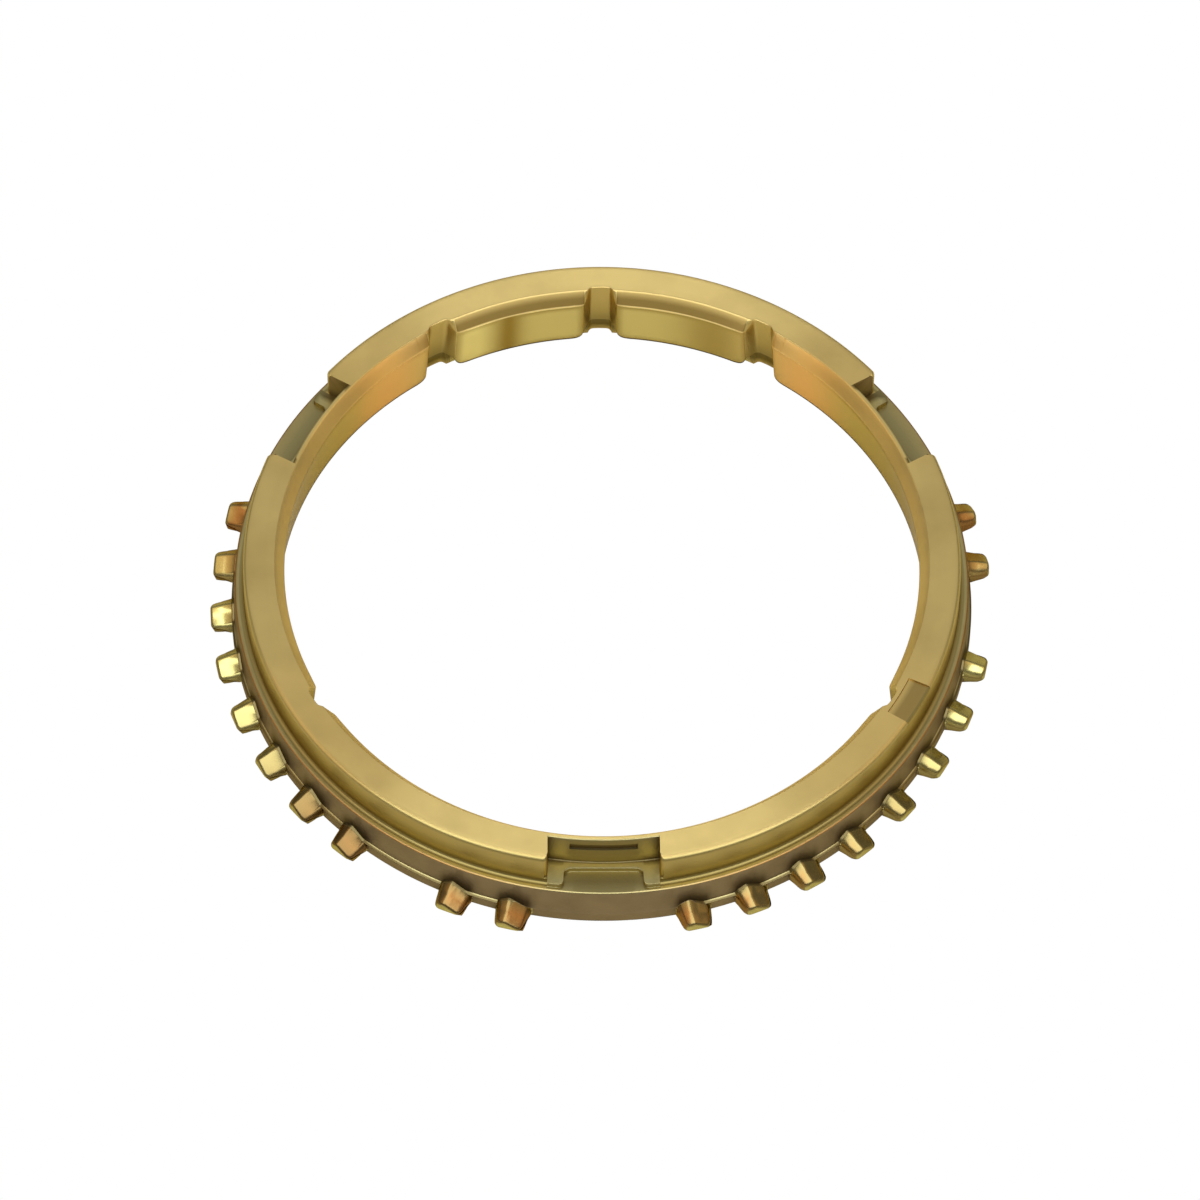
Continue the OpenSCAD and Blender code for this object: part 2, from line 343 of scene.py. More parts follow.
def rim_radius(z):
    """Outer radius of the thin wall left behind a notch: it leans out towards its foot."""
    return lip_r + rim_t + (ring_h - z) * rim_slope


def softer(a, b, soft):
    """Soft maximum of a and b: half of (their sum plus the root of difference squared plus soft squared)."""
    return (a + b + np.sqrt((a - b) ** 2 + soft ** 2)) / 2


def groove_radius(z):
    """Radius where a groove's floor or slanting side is met: the nearer of two planes, softened."""
    a = np.radians(from_groove)
    floor = groove_top_r + (ring_h - z) * groove_slope
    mouth_depth = groove_top_r - (small_end_r + (small_end_z - ring_h) * cone_slope)
    lean = (groove_mouth_half - groove_floor_half) / mouth_depth
    side = (groove_floor_half + floor * lean) / (np.sin(a) + lean * np.cos(a))
    return -softer(-floor / np.cos(a), -side, groove_soft)


def cut_by_groove(r, z):
    """A bore radius, or the groove's radius where that lies deeper, with a softened edge between them."""
    return np.where(from_groove < GROOVE_REACH, softer(r, groove_radius(z), groove_soft), r)


def cone_radius(z):
    """Radius of the friction cone at a height, cut by the grooves."""
    return cut_by_groove(small_end_r + (small_end_z - z) * cone_slope, z)


step_r = step_radius()
wall_r = hub_wall_radius()
pad_y = (small_end_r + (small_end_z - lead_in) * cone_slope) * np.sin(np.radians(from_groove))
pad_inset = np.clip(groove_mouth_half + pad_round - pad_y, 0.0, pad_round)
pad_z = lead_in + pad_round - np.sqrt(pad_round ** 2 - pad_inset ** 2)
beside_groove = pad_inset > PAD_START
pad_cut_r = groove_top_r + (ring_h - 2 * (lead_in + pad_round)) * groove_slope
lip = cut_by_groove(lip_r, ring_h)
print(f"strut step from radius {step_r[in_notch].min():.2f} to {step_r[in_notch].max():.2f} mm")

# %% [markdown]
# ## Stains and painted shade round the ring
# Used brass isn't evenly clean, and here most of the darkening is painted shade: the front
# teeth are painted darker, the cone has painted dark bands and the corners of the notches
# hold painted shade. A painted picture could carry that, but one number at each point does
# as well: 0 is clean metal and 1 is fully darkened. Round the ring these numbers follow two
# simple curves, a bell and a ramp, each about some place in degrees.

# %% Work out the painted shade of the outside
FRONT_PLACE, BACK_PLACE, FRONT_WIDTH, FRONT_EDGE_WIDTH = -90.0, 90.0, 60.0, 16.0
# Painted shade on the flange wall above each tooth, fading out beside it.
TOOTH_SHADE_REACH, TOOTH_SHADE_FADE = 3.4, 1.3
# Painted shade on the tooth roofs at the front of the ring, reaching a little further to the left.
FRONT_SHADE_REACH, FRONT_SHADE_FADE, FRONT_SHADE_MOST = 88.0, 44.0, 0.87
FRONT_SHADE_TURN, FRONT_SHADE_REACH_LEAN, FRONT_SHADE_MOST_LEAN = 40.0, 4.0, 0.13
# Painted shade in the notches: seat and thin wall darker in the front notch, the corners by the tabs darker
# in the back notches.
SEAT_SHADE, THIN_WALL_SHADE, CORNER_SHADE = (0.42, 0.68), (0.4, 0.74), 0.9
# Painted shade on the hub wall, strongest at the front.
WALL_SHADE_REACH, WALL_SHADE_FADE, WALL_SHADE_LEAST = 95.0, 30.0, 0.4


def near_angle(places, width):
    """Highest of some bell curves round the ring: e to the minus square of angle over width."""
    apart = turn_between(theta[:, None], np.atleast_1d(places))
    return np.exp(-(apart / width) ** 2).max(axis=1)


def fading(places, reach, fade):
    """1 near some places and 0 from reach degrees on: a straight ramp that is fade degrees long."""
    return np.clip((reach - np.abs(nearest(places))) / fade, 0.0, 1.0)


at_front_notch = (np.abs(nearest(FRONT_PLACE)) < 90.0).astype(float)
near_front = near_angle(FRONT_PLACE, FRONT_WIDTH)
at_front_edge = near_angle(FRONT_PLACE, FRONT_EDGE_WIDTH)
shade_above_tooth = fading(tooth_angles, TOOTH_SHADE_REACH, TOOTH_SHADE_FADE)
leftwards = np.clip(-nearest(FRONT_PLACE) / FRONT_SHADE_TURN, -1.0, 1.0)
shade_in_front = np.minimum(fading(FRONT_PLACE, FRONT_SHADE_REACH + FRONT_SHADE_REACH_LEAN * leftwards, FRONT_SHADE_FADE),
                           FRONT_SHADE_MOST + FRONT_SHADE_MOST_LEAN * leftwards)
seat_shade, thin_wall_shade = mix(*SEAT_SHADE, at_front_notch), mix(*THIN_WALL_SHADE, at_front_notch)
corner_shade = CORNER_SHADE * (notch_y > notch_half - tab_round) * (1 - at_front_notch)
wall_shade = np.maximum(fading(FRONT_PLACE, WALL_SHADE_REACH, WALL_SHADE_FADE), WALL_SHADE_LEAST)
# Both printed values are painted shade: on the tooth roofs and on the hub wall.
print(f"tooth roofs are stained up to {shade_in_front.max():.2f}, the hub wall from {wall_shade.min():.2f} on")

# %% [markdown]
# ### Painted shade in the bore
# The bore has painted light of its own. The bevel is painted darkest at the back, the cone
# carries two painted dark bands and a painted highlight streak, and painted shade lies along
# the oil grooves.

# %% Work out the painted shade of the bore
GROOVE_WALL_REACH, GROOVE_SHADE_REACH, GROOVE_SHADE_FADE, GROOVE_SHADE = 2.9, 4.4, 1.5, 0.8
BEVEL_SHADE_REACH, BEVEL_SHADE_FADE = 60.0, 25.0
BEVEL_SIDE_REACH, BEVEL_SIDE_FADE, BEVEL_SIDE_SHADE = 95.0, 30.0, 0.4
CONE_SIDE_REACH, CONE_SIDE_FADE, CONE_SIDE_SHADE = 64.0, 22.0, 0.2
# Painted dark bands on the cone that stand in for reflections; the streak is a painted highlight.
BROAD_BAND_PLACE, BROAD_BAND_WIDTH, BROAD_BAND_SHADE = 69.0, 6.5, 0.7
NARROW_BAND_PLACE, NARROW_BAND_WIDTH = 107.0, 2.6
CONE_STAIN_AND_STREAK, STREAK_PLACE, STREAK_WIDTH = 0.4, 114.0, 3.0

in_groove = from_groove < GROOVE_WALL_REACH
at_back = fading(BACK_PLACE, BEVEL_SHADE_REACH, BEVEL_SHADE_FADE)
bevel_side = BEVEL_SIDE_SHADE * fading(BACK_PLACE, BEVEL_SIDE_REACH, BEVEL_SIDE_FADE)
cone_sides = np.minimum(1 - fading(BACK_PLACE, CONE_SIDE_REACH, CONE_SIDE_FADE), CONE_SIDE_SHADE)
beside_grooves = GROOVE_SHADE * fading(GROOVE_PLACES, GROOVE_SHADE_REACH, GROOVE_SHADE_FADE)
broad_band = BROAD_BAND_SHADE * near_angle(BROAD_BAND_PLACE, BROAD_BAND_WIDTH)
narrow_band = near_angle(NARROW_BAND_PLACE, NARROW_BAND_WIDTH)
cone_bands = np.max([broad_band, narrow_band, beside_grooves, cone_sides], axis=0)
highlight_streak = CONE_STAIN_AND_STREAK * near_angle(STREAK_PLACE, STREAK_WIDTH)
print(int(in_groove.sum()), "columns in grooves")

# %% [markdown]
# ## The section
# Now the section is listed point by point, once round: gear face, lower edge, tooth, flange
# wall, ledge, notch floor or hub wall, hub face, lip, bevel, cone and lead-in.
# Every column has the same number of points, so each edge of the ring is a row of the grid
# and stays crisp. Where a column has no tooth, its tooth points simply lie on the wall.
# Each row also notes which finish the strip above it has, how much stain and painted shade
# its colour takes and how much painted warm reflection. It starts with the gear face, which
# the photo doesn't show.

# %% List the rows of the gear face
FORGED, TOOTH, MILLED, HUB_WALL, TURNED, BORED = range(6)
GEAR_FACE_SHARES = (0.0, 0.35, 0.75)
rows_r, rows_z, rows_finish, rows_stain_and_shade, rows_warm_reflection = [], [], [], [], []


def row(r, z, finish=FORGED, stain_and_shade=0.0, warm_reflection=0.0):
    """Adds one point to every column with its stain and painted shade, its painted warm reflection, and the
    finish from it to the next.
    """
    lists = (rows_r, rows_z, rows_finish, rows_stain_and_shade, rows_warm_reflection)
    for rows, values in zip(lists, (r, z, finish, stain_and_shade, warm_reflection)):
        rows.append(np.broadcast_to(values, theta.shape))


def split_row(there, inside, outside):
    """Adds a row that takes (r, z, finish, stain and painted shade) from one list in some columns, from
    another elsewhere.
    """
    row(*(np.where(there, a, b) for a, b in zip(inside, outside)))


def gear_face_rows():
    """Flat gear-side face from the lead-in out to the flange, then its rounded lower edge."""
    plain = small_end_r + (small_end_z - lead_in) * cone_slope + lead_in
    inner = np.where(beside_groove, np.maximum(groove_radius(0.0), pad_cut_r), plain)
    outer = flange_r - flange_edge
    for share in GEAR_FACE_SHARES:
        row(mix(inner, outer, share), 0.0)
    for turn in np.radians([0, 30, 60, 90]):
        row(outer + flange_edge * np.sin(turn), flange_edge * (1 - np.cos(turn)), FORGED, 1.0)


gear_face_rows()
print(len(rows_r), "rows up to the lower edge of the flange")

# %% [markdown]
# ### Teeth and root land
# The path of a tooth runs along its underside, round the tip and back along the roof.
# Its edges are rounded by a few rows each, as a worn die leaves them. Painted shade darkens
# the flanks and the rounded edges, and at the front of the ring the roofs too.

# %% List the rows of the teeth
EDGE_MOST, CHAMFER_ZONE, ROOF_SHARES, LAND_SHARES = 0.3, 0.5, (0.45, 1.0), (0.04, 0.5, 1.0)
# Painted shade on the rounded edges of each tooth, row by row along its path, and on its flanks.
TOOTH_EDGE_SHADE, FIRST_ROOF_ROW = (0.4, 0.3, 0.2, 0.0, 0.3, 0.8, 0.6, 0.1, 0.0, 0.5), 5
FLANK_START, FLANK_SHADE_REACH, FLANK_SHADE = 1.7, 1.6, 0.7


def tooth_path():
    """Points of a tooth's section: underside, lower edge, tip, rounded upper edge, roof to the root."""
    reach = outline - foot_r
    edge = np.minimum(tooth_edge, EDGE_MOST * reach)
    at_tip = np.clip((outline - tip_r + CHAMFER_ZONE) / CHAMFER_ZONE, 0, 1)
    under = np.minimum(edge + (tip_chamfer - tooth_edge) * at_tip, reach / 2)
    top_r = np.maximum(tooth_outline(flank_lean * (roof_z(outline) - tooth_z)), foot_r)
    tip_z = roof_z(top_r) - edge
    path = [(foot_r + reach / 2, tooth_z), (outline - under, tooth_z), (outline, tooth_z + under)]
    path += [(mix(outline, top_r, 0.5), mix(tooth_z + under, tip_z, 0.5)), (top_r, tip_z)]
    for turn in np.radians([30, 60, 90]):
        r = np.maximum(top_r - edge * (1 - math.cos(turn)), foot_r)
        path.append((r, mix(tip_z, roof_z(r), math.sin(turn))))
    roof_start = path[-1][0]
    return path + [(r, roof_z(r)) for r in (mix(roof_start, foot_r, share) for share in ROOF_SHARES)]


def tooth_rows():
    """Root, path of the tooth and sloped root land; the points of a missing tooth lie on the wall."""
    row(foot_r, flange_edge + HAIR)
    row(foot_r, tooth_z)
    path = tooth_path()
    bare_heights = np.linspace(tooth_z, land_h - land_w, len(path) + 2)[1:-1]
    for index, ((r, z), bare_z, dark) in enumerate(zip(path, bare_heights, TOOTH_EDGE_SHADE)):
        # Painted shade along the flanks.
        at_flank = np.clip(1 - (tooth_outline(0.0) - r) / FLANK_SHADE_REACH, 0, 1)
        at_flank = at_flank * (from_tooth > FLANK_START)
        # Painted shade on the roofs at the front.
        roof_shade = shade_in_front * (index >= FIRST_ROOF_ROW)
        stain_and_shade = np.maximum(np.maximum(dark, FLANK_SHADE * at_flank), roof_shade)
        split_row(in_tooth, (r, z, TOOTH, stain_and_shade), (foot_r, bare_z, FORGED, 0.0))
    for share in LAND_SHARES:
        r = mix(foot_r, flange_wall(land_h), share)
        plain_z = mix(land_h - land_w, land_h, share)
        z = np.where(in_tooth, np.maximum(plain_z, roof_z(r) + HAIR), plain_z)
        if share < 1.0:
            # Painted shade: the root land between the teeth is fully darkened, and the painted shade above
            # each tooth starts here.
            row(r, z, np.where(on_land, MILLED, FORGED), np.maximum(share * shade_above_tooth, on_land))
        else:
            row(flange_wall(z), z, FORGED, shade_above_tooth)


tooth_rows()
print(len(rows_r), "rows up to the root land")

# %% [markdown]
# ### Flange and hub wall
# The flange is raw forging, with painted shade above each tooth and a painted warm
# reflection along its upper edge. Outside the notches a fillet leads from the ledge up to the
# hub wall. Inside them the same rows make the step of the strut seat and the floor with its
# two tabs.

# %% List the rows of the flange and hub wall
FLANGE_SHADE_ABOVE_TOOTH = ((0.25, 0.8), (0.5, 0.35), (1.0, 0.0))
EDGE_REFLECTION, EDGE_SHADE = (1.0, 1.0, 0.3), 0.5
STEP_SHADE, FILLET_SIDE_SHADE = 0.6, 0.5
WALL_DIP, WALL_SHARES, HUB_WALL_SHADE = 0.02, (0.004, 0.35, 0.7, 1.0), (0.9, 0.9, 0.75, 0.45, 0.4)
FLOOR_SHARES, FLOOR_SHADE = (0.25, 0.5, 0.75, 1.0), (0.0, 0.0, 0.0, 1.0, 1.0)


def flange_rows():
    """Drafted flange wall, its rounded upper edge, the ledge, then the fillet or the step in a notch."""
    low_z = np.where(in_tooth, np.maximum(land_h, roof_z(flange_wall(land_h))), land_h)
    # Painted shade on the flange wall above each tooth, strongest low down.
    for share, dark in FLANGE_SHADE_ABOVE_TOOTH:
        z = mix(low_z, flange_h - flange_edge, share)
        row(flange_wall(z), z, FORGED, dark * shade_above_tooth)
    # Painted warm reflection along the flange's rounded upper edge, with painted shade in its place at the
    # front.
    for turn, painted_reflection in zip(np.radians([30, 60, 90]), EDGE_REFLECTION):
        r, z = flange_top_r - flange_edge * (1 - np.cos(turn)), flange_h - flange_edge * (1 - np.sin(turn))
        row(r, z, MILLED, EDGE_SHADE * at_front_edge, painted_reflection * (1 - at_front_edge))
    foot = np.where(in_notch, step_r + step_edge, body_r + ledge_fillet)
    # Painted shade on the seat, darker in the front notch.
    row(mix(flange_top_r - flange_edge, foot, 0.5), flange_h, MILLED, np.where(in_notch, seat_shade, 0.0))
    toe, brow = 0.6 * step_edge, 0.3 * step_edge
    step = [(step_r + toe, flange_h), (step_r, flange_h + toe), (step_r, tab_z - step_edge),
            (step_r - brow, tab_z - brow), (step_r - step_edge, tab_z)]
    for turn, (r, z) in zip(np.radians([0, 22.5, 45, 67.5, 90]), step):
        fillet_r = body_r + ledge_fillet * (1 - np.sin(turn))
        fillet_z = flange_h + ledge_fillet * (1 - np.cos(turn))
        # Painted shade on the step in a notch and on the fillet, the fillet darkest at the front.
        split_row(in_notch, (r, z, MILLED, STEP_SHADE),
                  (fillet_r, fillet_z, HUB_WALL, mix(FILLET_SIDE_SHADE, 1.0, near_front)))


def hub_wall_rows():
    """Upright hub wall; in a notch the floor from the step in to the foot of the thin wall instead."""
    walls = [(body_r, tab_z - WALL_DIP)] + [(wall_r, mix(tab_z, wall_top, share)) for share in WALL_SHARES]
    floor_in = rim_radius(tab_z) + step_edge
    floors = [(mix(step_r - step_edge, floor_in, share), tab_z) for share in FLOOR_SHARES]
    floors.append((rim_radius(tab_z + step_edge), tab_z + step_edge))
    # Painted shade: the hub wall darker low down and at the front; in a notch the foot of the thin wall and
    # the tab corners darker.
    for (r, z), (floor_r, floor_z), stain_and_shade, darkening in zip(walls, floors, HUB_WALL_SHADE, FLOOR_SHADE):
        split_row(in_notch, (floor_r, floor_z, MILLED, np.maximum(darkening, corner_shade)),
                  (r, z, HUB_WALL, stain_and_shade * wall_shade))


flange_rows()
hub_wall_rows()
print(len(rows_r), "rows up to the top of the hub wall")

# %% [markdown]
# ### Hub face and thin wall
# The face is turned flat, with a rounded outer edge and a shallow field for a marking, left
# bare here. In a notch the same rows climb the thin wall, dip into its relief slot and
# round its rim. The last two rows lie beside the lip, which runs right round the ring.

# %% List the rows of the hub face
# Painted shade on the rounded outer edge of the hub face, strongest at the front; the marking field is
# stained.
FACE_EDGE_SHADE, FIELD_STAIN = (0.75, 0.75, 0.7, 0.3) + 6 * (0.0,), 0.67
SLOT_ROWS, FIELD_WALL_ROW, RIM_ROW, LIP_ROW, EDGE_ROWS = (2, 3), 6, 7, 8, 2
RIM_FLAT, LIP_FLATS, FACE_SHARES = 0.06, (0.4, 0.25), (0.12, 0.6)


def thin_wall_path():
    """Points of the thin wall in a notch: how far each is cut in from the leaning wall, and its height."""
    deep = np.where(in_slot, slot_depth, 0.0)
    low_rim, bend = ring_h - rim_round, 0.3 * rim_round
    return [(0.0, mix(tab_z, slot_bottom, 0.5)), (0.0, slot_bottom - HAIR), (deep, slot_bottom + HAIR),
            (deep, slot_top - HAIR), (0.0, slot_top + HAIR), (0.0, mix(slot_top, low_rim, 0.6)),
            (0.0, low_rim), (bend, ring_h - bend), (rim_round, ring_h), (rim_round + RIM_FLAT, ring_h)]


def hub_face_path():
    """Points of the rounded outer edge and the hub face: radius and height, lower in the marking field."""
    field_r, flat_r = lip_r + field_margin, body_r - face_round
    path = [(wall_r - face_round * (1 - math.cos(turn)), wall_top + face_round * math.sin(turn))
            for turn in np.radians([22.5, 45, 67.5, 90])]
    path += [(mix(flat_r, field_r, share), ring_h) for share in FACE_SHARES] + [(field_r + HAIR, ring_h)]
    path = [(r, np.where(in_field, np.minimum(z, ring_h - field_depth), z)) for r, z in path]
    return path + [(field_r - HAIR, ring_h)] + [(lip + flat, ring_h) for flat in LIP_FLATS]


def hub_face_rows():
    """Rounded outer edge and hub face with its field; in a notch the thin wall up to its rim instead."""
    points = zip(thin_wall_path(), hub_face_path(), FACE_EDGE_SHADE)
    for index, ((cut, thin_z), (r, z), dark) in enumerate(points):
        thin_finish = MILLED if index < LIP_ROW else TURNED
        face_finish = np.where(in_field & (index == FIELD_WALL_ROW), FORGED, TURNED)
        # Painted shade: the first rows of the rounded edge take the darker hub wall finish.
        face_finish = HUB_WALL if index < EDGE_ROWS else face_finish
        # Painted shade in the relief slot, on the thin wall and in the tab corners.
        thin_shade = np.where(in_slot & (index in SLOT_ROWS), 1.0, thin_wall_shade) * (index < RIM_ROW)
        thin_shade = np.maximum(thin_shade, corner_shade)
        face_stain_and_shade = np.where(in_field & (index < FIELD_WALL_ROW), FIELD_STAIN, dark * near_front)
        split_row(in_notch, (rim_radius(thin_z) - cut, thin_z, thin_finish, thin_shade),
                  (r, z, face_finish, face_stain_and_shade))


hub_face_rows()
print(len(rows_r), "rows up to the lip")

# %% [markdown]
# ### Bevel and friction cone
# The bore narrows along a steep bevel and then widens again down the friction cone, which
# ends in a lead-in. Milled grooves cut through both. A thin painted highlight at the end of
# the bevel and a painted dark line under it make the edge between them readable.

# %% List the rows of the bore
# Painted shade on the lip at the back.
LIP_SHADE, LIP_EDGE_SHADE = 0.33, (0.1, 0.55)
# Painted shade on the bevel, darkest at the back, with a painted highlight at its lower end.
BEVEL_ROWS = ((0.08, 0.8), (0.5, 1.0), (0.88, 1.0), (0.93, 0.2))
# Painted dark lines just below the small end and along the foot of the cone.
CONE_ROWS = ((0.0, 0.0), (0.02, 0.7), (0.12, 0.0), (0.27, 0.0), (0.42, 0.0), (0.57, 0.0), (0.72, 0.0),
             (0.86, 0.0), (0.965, 0.6), (1.0, 0.6))
RAW_STRIP, LEAD_IN_SHARES = 0.965, (0.03, 0.5)
# Painted shade in the grooves, darker towards the gear side.
GROOVE_WALL_SHADE, GROOVE_FOOT_SHADE = 0.1, 0.5


def bore_rows():
    """Lip, bevel, friction cone with its grooves, and the lead-in down to the gear-side face."""
    row(lip + lip_round, ring_h, TURNED, LIP_SHADE * at_back)
    row(lip, ring_h - lip_round, TURNED, mix(*LIP_EDGE_SHADE, at_back))
    for share, dark in BEVEL_ROWS:
        z = mix(ring_h, small_end_z, share)
        row(cut_by_groove(mix(lip_r, small_end_r, share), z), z, np.where(in_groove, HUB_WALL, TURNED),
            np.where(in_groove, GROOVE_WALL_SHADE, mix(bevel_side, dark, at_back)))
    for share, dark in CONE_ROWS:
        z = mix(small_end_z, pad_z, share)
        # The cone's colour: its stain, painted dark bands and lines, less a painted highlight streak.
        cone_stain_and_shade = mix(CONE_STAIN_AND_STREAK, 1.0, np.maximum(cone_bands, dark)) - highlight_streak
        row(cone_radius(z), z, np.where(in_groove, HUB_WALL, FORGED if share == RAW_STRIP else BORED),
            np.where(in_groove, GROOVE_WALL_SHADE + GROOVE_FOOT_SHADE * share ** 2, cone_stain_and_shade))
    plain = small_end_r + (small_end_z - lead_in) * cone_slope
    for share in LEAD_IN_SHARES:
        z = pad_z * (1 - share)
        row(np.where(beside_groove, np.maximum(groove_radius(z), pad_cut_r), plain + lead_in * share), z,
            np.where(in_groove, HUB_WALL, BORED), np.where(in_groove, 1.0, mix(CONE_STAIN_AND_STREAK, 1.0, cone_bands)))


bore_rows()
section_r, section_z = np.array(rows_r), np.array(rows_z)
print(len(rows_r), "rows,", 2 * len(rows_r) * len(theta), "triangles in all")

# %% [markdown]
# ## From grid to mesh
# The grid closes on itself both ways, like a torus, so it has no rim to cap.
# Before it becomes a mesh, three things are worked out on the whole grid: the turn that makes
# a notch's columns parallel, the finish of each quad and the painted warm reflection of each point.

# %% Work out the turn, finish and painted warm reflection
SHIFT_FADE, WALL_STEP = 2.2, 0.05
# Painted warm reflections: orange glints in the bore and on the teeth, strongest on the facets that face the
# front.
BORE_REFLECTION_PLACES, BORE_REFLECTION_WIDTH = np.array([50.5, 132.0]), 8.5
TOOTH_REFLECTION_PLACES, TOOTH_REFLECTION_WIDTHS = np.array([12.0, 162.0]), np.array([9.0, 13.0])
FRONT_REFLECTION, FRONT_REFLECTION_WIDTH = 0.5, 36.0
FACET_REFLECTION, FACET_FADE, TIP_MARGIN = 0.95, 0.4, 0.5


def parallel_shift():
    """Turn in degrees that makes a notch's columns parallel, not radial, fading out beside the notch."""
    signed = nearest(notch_places)
    side = np.minimum(notch_y, notch_half)
    inward = np.minimum(section_r, body_r)
    fade = np.clip(1.0 - (from_notch - degrees_of(notch_half, body_r)) / SHIFT_FADE, 0.0, 1.0)
    return np.sign(signed) * fade * (degrees_of(side, inward) - degrees_of(side, body_r))


def strip_finish():
    """Finish of every quad: that of its row, but upright walls beside a notch or the field are forged."""
    finish = np.array(rows_finish)
    tall = np.abs(section_z - np.roll(section_z, -1, axis=1)) > WALL_STEP
    tall |= np.roll(tall, -1, axis=0)
    at_wall = (in_notch != np.roll(in_notch, -1)) | (in_field != np.roll(in_field, -1))
    # The forged finish on these upright walls is darker, and at the ends of the notches it serves as painted
    # shade.
    return np.where(tall & at_wall & (finish != BORED), FORGED, finish)


def painted_warm_reflection():
    """Painted warm reflection at every point: the most of its row's and of bell curves in the bore and on the
    teeth.
    """
    outwards = np.clip((section_r - root_r) / tooth_h, 0.0, 1.0)
    from_ridge = beside_tooth + degrees_of(ridge_shift, root_r)
    inner_facet = np.clip(-np.sign(nearest(FRONT_PLACE)) * from_ridge / FACET_FADE, 0.0, 1.0) * (outwards > 0)
    at_sides = near_angle(TOOTH_REFLECTION_PLACES, TOOTH_REFLECTION_WIDTHS) * (section_r > flange_r)
    reflection_on_teeth = np.maximum(FRONT_REFLECTION * outwards, FACET_REFLECTION * inner_facet)
    at_front = near_angle(FRONT_PLACE, FRONT_REFLECTION_WIDTH) * reflection_on_teeth
    off_tip = np.clip((tip_r - section_r) / tooth_edge - TIP_MARGIN, 0.0, 1.0)
    in_bore = near_angle(BORE_REFLECTION_PLACES, BORE_REFLECTION_WIDTH) * (section_r < lip_r)
    return np.max([rows_warm_reflection, in_bore, at_sides * off_tip, at_front * off_tip], axis=0)


column_turn, quad_finish, point_warm_reflection = parallel_shift(), strip_finish(), painted_warm_reflection()
print("quads of each finish:", np.bincount(quad_finish.ravel()).tolist())

# %% [markdown]
# ### Filling the mesh
# foreach_set copies whole arrays into the mesh at once. A UV map runs along the section
# in u and round the ring in v: the turned finishes take their direction from it.
# Edges sharper than a set angle are marked, and a Weighted Normal modifier keeps flats flat.

# %% Make the ring's mesh
SHARP_ANGLE = math.radians(38)


def ring_mesh(name):
    """Mesh of the closed grid: point = (r cos t, r sin t, z) for each row and column, with quads between."""
    n_rows, n_cols = section_r.shape
    a = np.radians(theta + column_turn)
    points = np.stack([section_r * np.cos(a), section_r * np.sin(a), section_z], axis=-1) * MM
    i, j = np.meshgrid(np.arange(n_cols), np.arange(n_rows))
    i_next, j_next = (i + 1) % n_cols, (j + 1) % n_rows
    low, high = j * n_cols, j_next * n_cols
    corners = np.stack([low + i, low + i_next, high + i_next, high + i], axis=-1)
    mesh = bpy.data.meshes.new(name)
    mesh.vertices.add(n_rows * n_cols)
    mesh.vertices.foreach_set("co", points.ravel())
    mesh.loops.add(corners.size)
    mesh.loops.foreach_set("vertex_index", corners.ravel())
    mesh.polygons.add(n_rows * n_cols)
    mesh.polygons.foreach_set("loop_start", np.arange(0, corners.size, 4))
    mesh.polygons.foreach_set("material_index", quad_finish.ravel())
    mesh.update(calc_edges=True)
    along = np.arange(n_rows + 1) / n_rows
    around = np.append(theta, theta[0] + 360.0) / 360.0
    u = along[np.stack([j, j, j + 1, j + 1], axis=-1)]
    v = around[np.stack([i, i + 1, i + 1, i], axis=-1)]
    uv = np.stack([u, v], axis=-1)
    mesh.uv_layers.new(name="turning").data.foreach_set("uv", uv.ravel())
    for label, values in (("stain_and_shade", np.array(rows_stain_and_shade)), ("warm_reflection", point_warm_reflection)):
        mesh.attributes.new(label, "FLOAT", "POINT").data.foreach_set("value", values.ravel())
    mesh.polygons.foreach_set("use_smooth", np.ones(n_rows * n_cols, dtype=bool))
    mesh.set_sharp_from_angle(angle=SHARP_ANGLE)
    mesh.validate()
    return mesh, points, corners


def enclosed_volume(points, corners):
    """Volume in cubic millimetres: sum over triangles of a . (b x c) / 6, positive if faces look out."""
    p = points.reshape(-1, 3)[corners.reshape(-1, 4)] / MM
    crossed = np.cross(p[:, 1], p[:, 2]) + np.cross(p[:, 2], p[:, 3])
    return (p[:, 0] * crossed).sum() / 6


mesh, points, corners = ring_mesh("synchronizer_ring_body")
ring = bpy.data.objects.new("synchronizer_ring_body", mesh)
bpy.context.collection.objects.link(ring)
weighted = ring.modifiers.new("flat_faces_stay_flat", "WEIGHTED_NORMAL")
weighted.keep_sharp = True
print(f"ring mesh: {len(mesh.polygons)} quads, {enclosed_volume(points, corners):.0f} cubic mm")

# %% [markdown]
# ## Finishes
# Brass shows its making: lathe tools leave fine rings that stretch highlights across them,
# while forged skin is dull and blotchy. Both effects are needed in several finishes, so
# each is a node group with its own inputs.

# %% Build the shared node groups
BLOTCH_DETAIL, GRAIN_DETAIL, LINE_DETAIL, BAND_SHARE = 4.0, 2.0, 3.0, 0.12


def new_group(name, inputs, outputs):
    """Empty shader node group with float inputs (name, default) and float outputs."""
    group = bpy.data.node_groups.new(name, "ShaderNodeTree")
    for label, value in inputs:
        socket = group.interface.new_socket(label, in_out="INPUT", socket_type="NodeSocketFloat")
        socket.default_value = value
    for label in outputs:
        group.interface.new_socket(label, in_out="OUTPUT", socket_type="NodeSocketFloat")
    return group, group.nodes.new("NodeGroupInput"), group.nodes.new("NodeGroupOutput")


